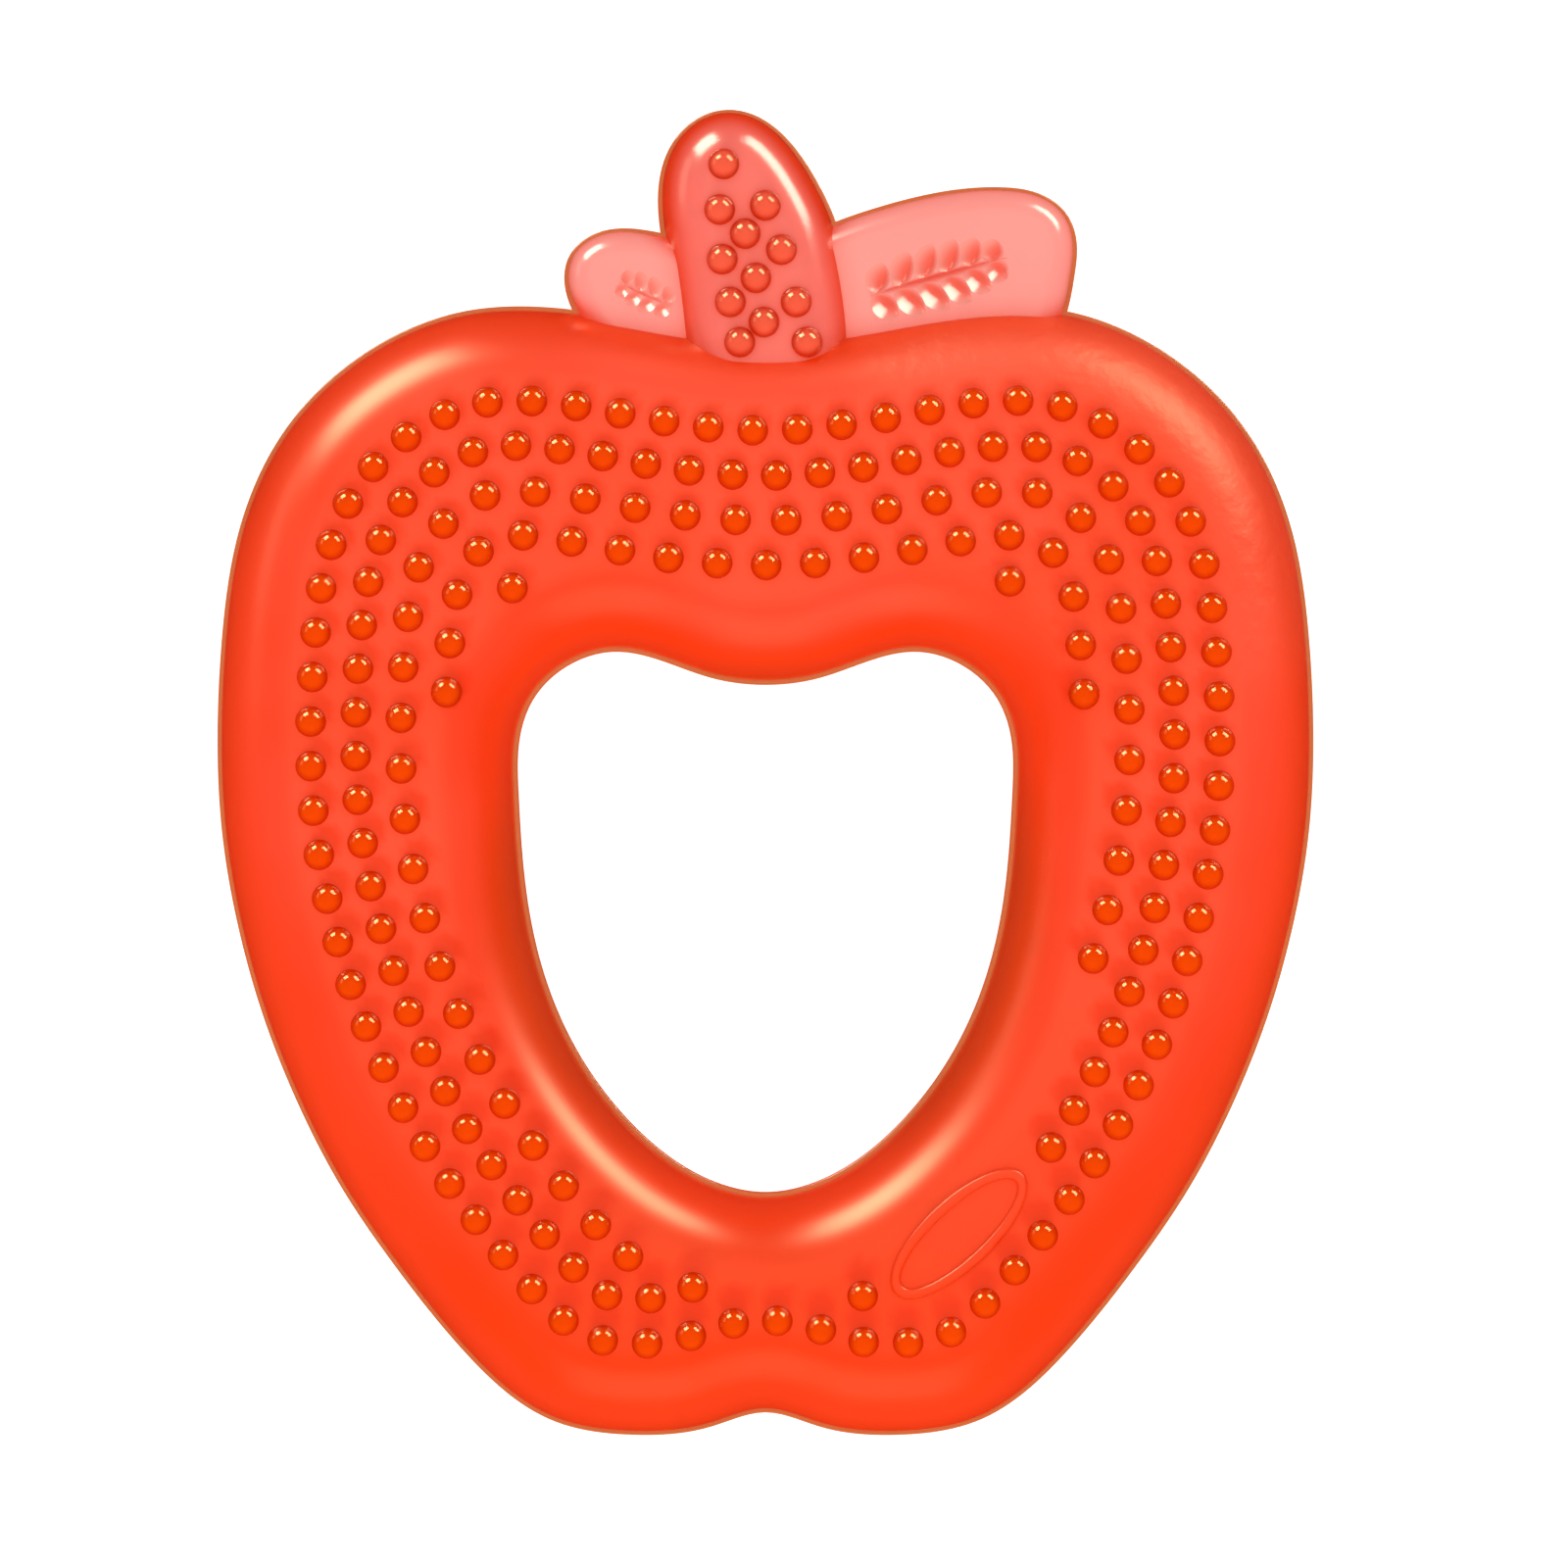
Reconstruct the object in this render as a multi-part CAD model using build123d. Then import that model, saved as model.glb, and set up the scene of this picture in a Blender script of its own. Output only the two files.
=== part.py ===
"""Chilled teething ring: an apple-shaped water-filled ring with a stem, two leaves and chewing nubs.

Two moulded halves are welded at the middle plane over a sealed water filling, and a plug closes the
filling port in the back. Millimetres. While building, the weld plane is z = 0, +Z comes out of the front
face and +Y points to the stem; at the end everything is lifted so it rests on z = 0, centred in X and Y.
"""
from build123d import *
import math
import os

os.makedirs("parts", exist_ok=True)

# ---- driving dimensions -------------------------------------------------------------------------------
RING_HALF = 7.0        # half thickness of the ring
RING_ROUND = 6.55      # rounding of the ring's outer and inner edges
STEM_HALF = 5.2        # half thickness of the stem
STEM_ROUND = 4.0
LEAF_HALF = 3.2        # half thickness of the leaves
LEAF_ROUND = 1.9
LIP_WIDTH = 0.35       # weld lip that stands out all round the outline
LIP_HALF = 0.45        # half thickness of the weld lip
WALL = 1.5             # wall of the hollow ring and stem
WATER_GAP = 0.05       # room between the wall and the filling
CURVE_STEP = 3.2       # spacing of the points used when a curve is moved sideways
PROFILE_STEPS = 5      # sections that shape a rounded edge

NUB_RADIUS = 1.185     # radius of the ball that makes a nub
NUB_SINK = 0.285       # how far the ball's centre lies below the face

WELD_LAND = 0.8        # distance of the weld rib from the body's edge, on the wall land
RIB_WIDTH = 0.5
RIB_HEIGHT = 0.5
RIB_PLAY = 0.04

VEIN_WIDTH = 0.8
VEIN_DEPTH = 0.6
VEIN_TAPER = 0.75      # share by which the side veins get shorter towards the leaf's tip
VEIN_START = 0.2       # place of the first side vein, as a share of their spacing

BADGE_CENTRE = (14.4, -34.2)
BADGE_ANGLE = 43.0
BADGE_LENGTH = 13.0
BADGE_WIDTH = 5.2
BADGE_RISE = 0.4
BADGE_RIM = 0.8
BADGE_MIDDLE_RISE = 0.1
BADGE_ROOT = 0.3       # how far the badge reaches into the face

PORT_CENTRE = (14.4, -34.2)
PORT_BORE = 4.0
PORT_RECESS = 6.4      # counterbore for the plug's head
PORT_RECESS_DEPTH = 1.0
PORT_BOSS = 8.4
PORT_BOSS_DEPTH = 4.0  # how far the boss reaches in from the back face
ROOT = 0.1             # how far one shape reaches into another that it is joined to
OVERRUN = 1.0          # how far a cutting shape runs past what it cuts
PLUG_PLAY = 0.05
PLUG_HEAD_RISE = 0.8
PLUG_LENGTH = 3.6

# ---- outlines, as half profiles or closed loops: X, Y -------------------------------------------------
RING_OUTER_HALF = [
    (0.0, -48.2), (4.0, -49.25), (9.9, -49.9), (16.1, -48.8), (22.65, -43.7), (27.7, -37.5),
    (31.95, -31.3), (35.3, -24.85), (37.9, -18.3), (39.8, -11.5), (41.0, -4.5), (41.35, 2.8),
    (41.0, 10.45), (39.7, 18.45), (36.25, 25.95), (30.3, 31.7), (22.7, 34.9), (17.5, 35.25),
    (12.0, 34.65), (6.0, 33.6), (0.0, 33.05),
]
HOLE_HALF = [
    (0.0, 6.7), (4.0, 7.2), (7.8, 8.5), (11.4, 9.2), (15.0, 8.1), (17.6, 5.5), (18.6, 2.4),
    (18.65, -1.4), (18.15, -8.2), (16.95, -14.35), (14.5, -20.4), (10.35, -26.15), (4.0, -30.75),
    (0.0, -31.6),
]
STEM_LOOP = [
    (-2.9, 50.1), (-0.2, 49.4), (2.1, 47.4), (3.9, 44.7), (5.3, 41.7), (6.2, 38.3), (6.8, 34.5),
    (6.8, 30.5), (5.0, 26.4), (0.3, 24.3), (-4.4, 26.2), (-6.4, 30.3), (-7.0, 34.5), (-7.6, 38.8),
    (-8.1, 42.4), (-7.95, 45.2), (-7.0, 47.65), (-5.3, 49.35),
]
RIGHT_LEAF_LOOP = [
    (2.5, 40.0), (5.4, 41.7), (8.5, 42.75), (11.7, 43.6), (15.0, 44.15), (18.0, 44.25),
    (20.6, 43.8), (22.7, 42.3), (23.5, 40.0), (23.3, 37.4), (22.6, 34.3), (20.0, 30.5), (11.0, 29.0),
    (3.0, 31.0), (1.3, 36.0),
]
LEFT_LEAF_LOOP = [
    (-5.5, 40.0), (-8.1, 40.85), (-11.0, 41.15), (-13.2, 40.6), (-14.85, 39.0), (-15.15, 36.8),
    (-14.2, 34.2), (-11.8, 31.0), (-7.0, 29.5), (-3.2, 31.8), (-3.3, 37.0),
]

# ---- nubs: rows that follow the ring's outline, then single ones -----------------------------------------
# distance in from the outline, first nub's place along the row, pitch, number of nubs
NUB_ROWS = [
    (7.55, 0.9, 3.315, 70),
    (10.9, 26.6, 3.252, 56),
    (10.9, 7.45, 3.252, 1),
    (14.25, 38.2, 3.765, 38),
    (17.55, 56.7, 3.647, 19),
]
SINGLE_NUBS = [(18.2, 14.3), (-18.8, 13.8), (-10.2, -35.9)]
STEM_NUBS = [
    (-3.1, 45.5), (-3.4, 42.1), (0.0, 42.4), (-1.5, 40.3), (-3.2, 38.4), (1.2, 39.1),
    (-0.7, 37.0), (-2.6, 35.2), (2.3, 35.2), (-0.1, 33.7), (-1.9, 32.2), (3.1, 32.2),
]

# ---- leaf veins: rib start and end, number of side veins, length of the longest one ---------------------
VEINS = [
    ((7.9, 35.9), (18.3, 38.7), 6, 2.9),
    ((-6.9, 35.2), (-10.9, 37.0), 3, 1.2),
]
VEIN_SPREAD = 55.0     # angle between the rib and the side veins


def mirrored(half):
    """Closed loop of points from the half on the +X side, whose end points lie on the Y axis."""
    other_side = [(-x, y) for x, y in half[-2:0:-1]]
    return half + other_side


def loop_edge(points):
    return Edge.make_spline([Vector(x, y) for x, y in points], periodic=True)


def moved_sideways(edge, distance):
    """The curve moved to its left by a distance, as points."""
    count = round(edge.length / CURVE_STEP)
    points = []
    for i in range(count):
        place = edge.position_at(i / count)
        along = edge.tangent_at(i / count)
        points.append((place.X - along.Y * distance, place.Y + along.X * distance))
    return points


def turns_left(points):
    area = 0.0
    for (x1, y1), (x2, y2) in zip(points, points[1:] + points[:1]):
        area += x1 * y2 - x2 * y1
    return area > 0


def grown(points, amount):
    """Closed curve through the points, grown outward by amount, or shrunk if it is negative."""
    side = -amount if turns_left(points) else amount
    return loop_edge(moved_sideways(loop_edge(points), side))


def face_of(edge):
    return Face(Wire([edge]))


def cushion(points, start, half, rounding, inward=-1):
    """Upper half of a cushion on the weld plane: outline moved by start, then rounded over the top edge.

    With inward=1 the outline opens out towards the top instead, which is the shape that cuts the hole.
    """
    sections = [Wire([grown(points, start)])]
    for i in range(PROFILE_STEPS + 1):
        turn = math.radians(90 * i / PROFILE_STEPS)
        moved = start + inward * rounding * (1 - math.cos(turn))
        height = half - rounding + rounding * math.sin(turn)
        sections.append(Location((0, 0, height)) * Wire([grown(points, moved)]))
    return Part(Solid.make_loft(sections).wrapped)


def capsule(start, end, width, bottom, height):
    """Slot with round ends, from bottom upward."""
    dx = end[0] - start[0]
    dy = end[1] - start[1]
    length = math.hypot(dx, dy)
    turn = math.degrees(math.atan2(dy, dx))
    middle = ((start[0] + end[0]) / 2, (start[1] + end[1]) / 2, bottom)
    outline = SlotCenterToCenter(length, width)
    return Location(middle, (0, 0, turn)) * extrude(outline, height)


ring_outline = mirrored(RING_OUTER_HALF)
hole_outline = mirrored(HOLE_HALF)


def body_half(shrink):
    """Upper half of the ring and stem, with every surface moved inward by shrink."""
    edge = LIP_WIDTH + shrink
    ring = cushion(ring_outline, -edge, RING_HALF - shrink, RING_ROUND - shrink)
    ring = ring - cushion(hole_outline, edge, RING_HALF - shrink, RING_ROUND - shrink, inward=1)
    stem = cushion(STEM_LOOP, -edge, STEM_HALF - shrink, STEM_ROUND - shrink)
    return ring + stem


def plan_slab(shrink, bottom, height):
    """Slab in the shape of the whole outline, shrunk by an amount."""
    slab = extrude(face_of(grown(ring_outline, -shrink)), height, dir=(0, 0, 1))
    for loop in (STEM_LOOP, RIGHT_LEAF_LOOP, LEFT_LEAF_LOOP):
        slab = slab + extrude(face_of(grown(loop, -shrink)), height, dir=(0, 0, 1))
    slab = slab - extrude(face_of(grown(hole_outline, shrink)), height, dir=(0, 0, 1))
    return Location((0, 0, bottom)) * slab


def nub_places():
    """Every nub as x, y and the height of the face it stands on."""
    places = []
    for distance, first, pitch, count in NUB_ROWS:
        row = loop_edge(moved_sideways(loop_edge(ring_outline), distance))
        for i in range(count):
            spot = row.position_at(((first + i * pitch) / row.length) % 1.0)
            places.append((spot.X, spot.Y, RING_HALF))
    for x, y in SINGLE_NUBS:
        places.append((x, y, RING_HALF))
    for x, y in STEM_NUBS:
        places.append((x, y, STEM_HALF))
    return places


def vein_cuts():
    """Leaf-shaped pattern of grooves: one rib with side veins that lean to its tip on both sides."""
    cuts = []
    floor = LEAF_HALF - VEIN_DEPTH
    for start, end, count, longest in VEINS:
        cuts.append(capsule(start, end, VEIN_WIDTH, floor, 2 * VEIN_DEPTH))
        dx = end[0] - start[0]
        dy = end[1] - start[1]
        heading = math.atan2(dy, dx)
        for i in range(count):
            share = (i + VEIN_START) / count
            root = (start[0] + dx * share, start[1] + dy * share)
            length = longest * (1 - VEIN_TAPER * share)
            for side in (-1, 1):
                angle = heading + side * math.radians(VEIN_SPREAD)
                tip = (root[0] + length * math.cos(angle), root[1] + length * math.sin(angle))
                cuts.append(capsule(root, tip, VEIN_WIDTH, floor, 2 * VEIN_DEPTH))
    return cuts


def moulded_half():
    """Upper half of the body with nubs and veins, before it gets its badge, port and weld rib."""
    half = body_half(0.0)
    for loop in (RIGHT_LEAF_LOOP, LEFT_LEAF_LOOP):
        half = half + cushion(loop, -LIP_WIDTH, LEAF_HALF, LEAF_ROUND)
    half = half + plan_slab(0.0, 0.0, LIP_HALF)
    half = half - vein_cuts()
    balls = [
        Location((x, y, height - NUB_SINK)) * Sphere(NUB_RADIUS)
        for x, y, height in nub_places()
    ]
    half = half + balls
    return half


def weld_rib(extra, height):
    """Ribs on the wall's land, round the ring and round the hole, extra wider on each side."""
    near = LIP_WIDTH + WELD_LAND - RIB_WIDTH / 2 - extra
    far = LIP_WIDTH + WELD_LAND + RIB_WIDTH / 2 + extra
    outer_band = extrude(face_of(grown(ring_outline, -near)), height, dir=(0, 0, 1))
    outer_band = outer_band - extrude(face_of(grown(ring_outline, -far)), height, dir=(0, 0, 1))
    hole_band = extrude(face_of(grown(hole_outline, far)), height, dir=(0, 0, 1))
    hole_band = hole_band - extrude(face_of(grown(hole_outline, near)), height, dir=(0, 0, 1))
    return outer_band, hole_band


def port_cylinder(diameter, bottom, top):
    x, y = PORT_CENTRE
    return Location((x, y, (bottom + top) / 2)) * Cylinder(diameter / 2, top - bottom)


def oval_badge():
    """Plain oval on the front face: a raised rim round a lower middle."""
    x, y = BADGE_CENTRE
    raised = extrude(Ellipse(BADGE_LENGTH / 2, BADGE_WIDTH / 2), BADGE_ROOT + BADGE_RISE)
    middle = extrude(Ellipse(BADGE_LENGTH / 2 - BADGE_RIM, BADGE_WIDTH / 2 - BADGE_RIM), BADGE_RISE)
    middle = Location((0, 0, BADGE_ROOT + BADGE_MIDDLE_RISE)) * middle
    place = Location((x, y, RING_HALF - BADGE_ROOT), (0, 0, BADGE_ANGLE))
    return place * (raised - middle)


def flipped(part):
    """Same part on the other side of the weld plane."""
    return mirror(part, about=Plane.XY)


outer_half = moulded_half()
cavity_half = body_half(WALL)

# Front half: badge on the face, weld rib reaching down into the back half.
front_shell = outer_half + oval_badge() - cavity_half
for band in weld_rib(0.0, RIB_HEIGHT):
    front_shell = front_shell + flipped(band - cavity_half)

# Back half: boss, bore and counterbore of the filling port, and the groove for the weld rib.
port_floor = RING_HALF - PORT_BOSS_DEPTH
boss = port_cylinder(PORT_BOSS, port_floor, RING_HALF - ROOT)
back_half = outer_half - (cavity_half - boss)
for band in weld_rib(RIB_PLAY, RIB_HEIGHT + RIB_PLAY):
    back_half = back_half - band
back_half = back_half - port_cylinder(PORT_BORE, port_floor - OVERRUN, RING_HALF + OVERRUN)
head_floor = RING_HALF - PORT_RECESS_DEPTH
back_half = back_half - port_cylinder(PORT_RECESS, head_floor, RING_HALF + OVERRUN)
back_shell = flipped(back_half)

# Plug: shank in the bore, head in the counterbore, both with a little play.
plug_half = port_cylinder(PORT_BORE - 2 * PLUG_PLAY, RING_HALF - PLUG_LENGTH, head_floor + ROOT)
plug_half = plug_half + port_cylinder(PORT_RECESS - 2 * PLUG_PLAY, head_floor, head_floor + PLUG_HEAD_RISE)
fill_plug = flipped(plug_half)

# Water: fills the hollow right up to the wall and round the boss.
water_half = body_half(WALL + WATER_GAP)
boss_room = port_cylinder(PORT_BOSS + 2 * WATER_GAP, port_floor - WATER_GAP, RING_HALF + OVERRUN)
water_back = water_half - boss_room
cooling_water = water_half + flipped(water_back)

parts = {
    "front_shell": front_shell,
    "back_shell": back_shell,
    "cooling_water": cooling_water,
    "fill_plug": fill_plug,
}

whole = Compound(children=[part.solids()[0] for part in parts.values()]).bounding_box()
lift = Location((-(whole.min.X + whole.max.X) / 2, -(whole.min.Y + whole.max.Y) / 2, -whole.min.Z))

for name, part in parts.items():
    solids = part.solids()
    placed = lift * part
    box = placed.bounding_box()
    print(name, "solids", len(solids), "valid", part.is_valid, "volume", round(part.volume, 1),
          "box", [round(v, 2) for v in (*box.min, *box.max)])
    export_step(placed, f"parts/{name}.step")
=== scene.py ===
"""Apple-shaped chilled teething ring: visual model on the CAD frame."""
import math
import bpy
import numpy as np
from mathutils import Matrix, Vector
from mathutils.geometry import delaunay_2d_cdt


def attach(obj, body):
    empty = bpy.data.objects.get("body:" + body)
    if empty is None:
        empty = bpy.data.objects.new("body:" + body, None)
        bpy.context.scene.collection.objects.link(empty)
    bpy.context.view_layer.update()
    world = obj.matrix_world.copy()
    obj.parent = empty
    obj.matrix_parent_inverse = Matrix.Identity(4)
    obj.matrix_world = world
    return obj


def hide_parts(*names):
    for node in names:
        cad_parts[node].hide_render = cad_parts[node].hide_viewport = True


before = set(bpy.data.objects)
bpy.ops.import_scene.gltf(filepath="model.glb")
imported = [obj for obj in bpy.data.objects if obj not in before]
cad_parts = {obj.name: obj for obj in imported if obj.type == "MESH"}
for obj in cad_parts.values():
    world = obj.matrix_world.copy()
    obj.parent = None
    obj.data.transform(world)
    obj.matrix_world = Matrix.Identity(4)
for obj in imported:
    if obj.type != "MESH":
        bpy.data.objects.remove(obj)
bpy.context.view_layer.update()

MM = 0.001

# ---- dimensions in mm, the same as the CAD's ---------------------------------------------------
RING_HALF, RING_ROUND = 7.0, 6.55
STEM_HALF, STEM_ROUND = 5.2, 3.95
LEAF_HALF, LEAF_ROUND = 3.2, 1.9
LIP_WIDTH, LIP_HALF = 0.35, 0.45
WALL = 1.5
NUB_RADIUS, NUB_SINK = 1.185, 0.285
BADGE_CENTRE, BADGE_ANGLE = (14.4, -34.2), 43.0
BADGE_LENGTH, BADGE_WIDTH = 13.0, 5.2
BADGE_RISE, BADGE_RIM, BADGE_MIDDLE_RISE = 0.4, 0.8, 0.1
PORT_CENTRE = (14.4, -34.2)
PORT_BORE, PORT_RECESS, PORT_RECESS_DEPTH = 4.0, 6.4, 1.0
PORT_BOSS, PORT_BOSS_DEPTH = 8.4, 4.0

RING_OUTER_HALF = [
    (0.0, -48.2), (4.0, -49.25), (9.9, -49.9), (16.1, -48.8), (22.65, -43.7), (27.7, -37.5),
    (31.95, -31.3), (35.3, -24.85), (37.9, -18.3), (39.8, -11.5), (41.0, -4.5), (41.35, 2.8),
    (41.0, 10.45), (39.7, 18.45), (36.25, 25.95), (30.3, 31.7), (22.7, 34.9), (17.5, 35.25),
    (12.0, 34.65), (6.0, 33.6), (0.0, 33.05),
]
HOLE_HALF = [
    (0.0, 6.7), (4.0, 7.2), (7.8, 8.5), (11.4, 9.2), (15.0, 8.1), (17.6, 5.5), (18.6, 2.4),
    (18.65, -1.4), (18.15, -8.2), (16.95, -14.35), (14.5, -20.4), (10.35, -26.15), (4.0, -30.75),
    (0.0, -31.6),
]
STEM_LOOP = [
    (-2.9, 50.1), (-0.2, 49.4), (2.1, 47.4), (3.9, 44.7), (5.3, 41.7), (6.2, 38.3), (6.8, 34.5),
    (6.8, 30.5), (5.0, 26.4), (0.3, 24.3), (-4.4, 26.2), (-6.4, 30.3), (-7.0, 34.5), (-7.6, 38.8),
    (-8.1, 42.4), (-7.95, 45.2), (-7.0, 47.65), (-5.3, 49.35),
]
RIGHT_LEAF_LOOP = [
    (2.5, 40.0), (5.4, 41.7), (8.5, 42.75), (11.7, 43.6), (15.0, 44.15), (18.0, 44.25),
    (20.6, 43.8), (22.7, 42.3), (23.5, 40.0), (23.3, 37.4), (22.6, 34.3), (20.0, 30.5), (11.0, 29.0),
    (3.0, 31.0), (1.3, 36.0),
]
LEFT_LEAF_LOOP = [
    (-5.5, 40.0), (-8.1, 40.85), (-11.0, 41.15), (-13.2, 40.6), (-14.85, 39.0), (-15.15, 36.8),
    (-14.2, 34.2), (-11.8, 31.0), (-7.0, 29.5), (-3.2, 31.8), (-3.3, 37.0),
]
# distance in from the outline, first nub's place along the row, pitch, number of nubs
NUB_ROWS = [
    (7.55, 0.9, 3.315, 70),
    (10.9, 26.6, 3.252, 56),
    (10.9, 7.45, 3.252, 1),
    (14.25, 38.2, 3.765, 38),
    (17.55, 56.7, 3.647, 19),
]
SINGLE_NUBS = [(18.2, 14.3), (-18.8, 13.8), (-10.2, -35.9)]
STEM_NUBS = [
    (-3.1, 45.5), (-3.4, 42.1), (0.0, 42.4), (-1.5, 40.3), (-3.2, 38.4), (1.2, 39.1),
    (-0.7, 37.0), (-2.6, 35.2), (2.3, 35.2), (-0.1, 33.7), (-1.9, 32.2), (3.1, 32.2),
]

# ---- details of the visual model, in mm unless they are angles, shares or scales -----------------
# rib start and end, number of pairs of side veins, scale of their length, half the width of a vein
VEINS = [
    ((7.8, 35.8), (18.2, 38.7), 6, 3.6, 0.92),
    ((-7.0, 35.1), (-11.1, 36.95), 4, 2.0, 0.58),
]
VEIN_SPREAD = 55.0
VEIN_DEPTH_SHARE, RIB_WIDTH_SHARE = 0.85, 0.4
# how far the flat top goes on inside a rounded edge, before its triangles start
FLAT_BORDER = 0.12
LIP_BEVEL = 0.12
# rounding of the badge's edges, how far in its middle starts, how far its foot goes into the face
BADGE_EDGE, BADGE_MIDDLE_INSET, BADGE_MIDDLE_EDGE, BADGE_FOOT = 0.2, 0.4, 0.05, 1.0
# the port's boss stops this far under the face, and a cutter reaches this far past what it cuts
BOSS_COVER, CUTTER_REACH = 0.1, 1.0
# spacing of the points along the ring's outlines, the small outlines and the nub rows
RING_STEP, SMALL_STEP, ROW_STEP = 0.6, 0.5, 0.2
# spacing of the points that carry the painted ghost shade on the ring's flat faces
FACE_GRID = 0.55
SHARP_ANGLE = 32.0
# a point this near a nub's ball belongs to the nub
NUB_TOLERANCE = 0.01

# painted shade where the other face's nubs show through the body: its spots are lifted, and drawn in towards
# the middle
GHOST_LIFT, GHOST_DRAW = 0.95, 0.018
GHOST_RADIUS, GHOST_EDGE, GHOST_SHARE = 1.2, 0.5, 0.85
# half axes and height of the oval round the hole where the low slopes get painted shade
HOLE_OVAL, HOLE_OVAL_Y = (18.8, 15.6), -11.3
# the painted shade fades out between these multiples of the oval's half axes
OVAL_RANGE = (1.05, 1.3)
# reach of the painted shade in the creases, and how open a point is where that shade is full and where it
# ends
CREASE_REACH, CREASE_RANGE = 2.2, (0.55, 0.97)
# the patch that is rubbed matt: its place, its reach and the roughness that it adds,
# and the share of its reach that is fully matt
MATT_PLACE, MATT_REACH, MATT_ROUGHNESS = (30.0, 27.0), 25.0, 0.15
MATT_CORE = 0.7
SCUFF_DEPTH = 0.1
# scales of the fine variation, the soft patches and the scuffs, per metre
FINE_SCALE, CLOUD_SCALE, SCUFF_SCALE = 120.0, 55.0, 700.0
# what the fine variation multiplies the brightness and the roughness by
BRIGHTNESS_RANGE, ROUGHNESS_RANGE = (0.95, 1.05), (0.94, 1.12)
# the high colour fades between these places along y
FADE_RANGE = (-40.0, -5.0)
# noise values between which a soft patch comes in, and the share of the high colour outside it
CLOUD_RANGE, CLOUD_LEAST = (0.3, 0.6), 0.45
PLASTIC_IOR = 1.48

# material slots that every body mesh shares
RING, STEM, LEAF, LIP, NUB, STEM_NUB, INSIDE, VEIN = range(8)


# ---- curves --------------------------------------------------------------------------------------
def mirrored(half):
    return half + [(-x, y) for x, y in half[-2:0:-1]]


def closed_curve(points, spacing, samples=60):
    """Smooth closed curve through the points, anticlockwise, sampled at an even spacing."""
    p = np.array(points, float)
    area = np.sum(p[:, 0] * np.roll(p[:, 1], -1) - p[:, 1] * np.roll(p[:, 0], -1))
    if area < 0:
        p = np.roll(p[::-1], 1, axis=0)
    n = len(p)
    h = np.hypot(*(np.roll(p, -1, axis=0) - p).T)
    matrix = np.zeros((n, n))
    right = np.zeros((n, 2))
    for i in range(n):
        before, after = h[i - 1], h[i]
        matrix[i, i - 1] += before
        matrix[i, i] += 2 * (before + after)
        matrix[i, (i + 1) % n] += after
        right[i] = 6 * ((p[(i + 1) % n] - p[i]) / after - (p[i] - p[i - 1]) / before)
    bend = np.linalg.solve(matrix, right)
    dense = []
    for i in range(n):
        j = (i + 1) % n
        for t in np.linspace(0, h[i], samples, endpoint=False):
            a, b = h[i] - t, t
            dense.append(
                (bend[i] * a ** 3 + bend[j] * b ** 3) / (6 * h[i])
                + (p[i] / h[i] - bend[i] * h[i] / 6) * a
                + (p[j] / h[i] - bend[j] * h[i] / 6) * b
            )
    return evenly(np.array(dense), spacing)


def run_along(curve):
    """A closed curve with its first point again at the end, and the distance along it."""
    loop = np.vstack([curve, curve[:1]])
    return loop, np.concatenate([[0], np.cumsum(np.hypot(*np.diff(loop, axis=0).T))])


def evenly(curve, spacing):
    loop, run = run_along(curve)
    count = max(12, round(run[-1] / spacing))
    at = np.arange(count) * run[-1] / count
    return np.stack([np.interp(at, run, loop[:, 0]), np.interp(at, run, loop[:, 1])], axis=1)


def outward(curve):
    """Outward normal at each point of an anticlockwise curve."""
    along = np.roll(curve, -1, axis=0) - np.roll(curve, 1, axis=0)
    along /= np.hypot(*along.T)[:, None]
    return np.stack([along[:, 1], -along[:, 0]], axis=1)


def moved(curve, distance):
    return curve + outward(curve) * distance


def inside(points, loop):
    """Which points lie inside a closed loop."""
    result = np.zeros(len(points), bool)
    x, y = points[:, 0], points[:, 1]
    for (x1, y1), (x2, y2) in zip(loop, np.roll(loop, -1, axis=0)):
        crosses = (y1 > y) != (y2 > y)
        if abs(y2 - y1) > 1e-12:
            result ^= crosses & (x < (x2 - x1) * (y - y1) / (y2 - y1) + x1)
    return result


ring_curve = closed_curve(mirrored(RING_OUTER_HALF), RING_STEP)
hole_curve = closed_curve(mirrored(HOLE_HALF), RING_STEP)
stem_curve = closed_curve(STEM_LOOP, SMALL_STEP)
right_leaf_curve = closed_curve(RIGHT_LEAF_LOOP, SMALL_STEP)
left_leaf_curve = closed_curve(LEFT_LEAF_LOOP, SMALL_STEP)
low_y, high_y = ring_curve[:, 1].min(), stem_curve[:, 1].max()
SHIFT_Y = -(low_y + high_y) / 2
MID_Z = RING_HALF + NUB_RADIUS - NUB_SINK


# ---- mesh helpers ----------------------------------------------------------------------------------
def new_object(name, verts, faces, slot_index):
    """Object from points in mm over the weld plane, in the row frame."""
    placed = np.array(verts, float) + (0.0, SHIFT_Y, MID_Z)
    mesh = bpy.data.meshes.new(name)
    mesh.from_pydata((placed * MM).tolist(), [], [tuple(int(i) for i in f) for f in faces])
    for material in body_materials:
        mesh.materials.append(material)
    mesh.polygons.foreach_set("material_index", [slot_index] * len(mesh.polygons))
    piece = bpy.data.objects.new(name, mesh)
    bpy.context.scene.collection.objects.link(piece)
    return piece


def mesh_points(mesh):
    """Places of a mesh's points in metres, one row each."""
    coords = np.empty(len(mesh.vertices) * 3)
    mesh.vertices.foreach_get("co", coords)
    return coords.reshape(-1, 3)


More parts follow.
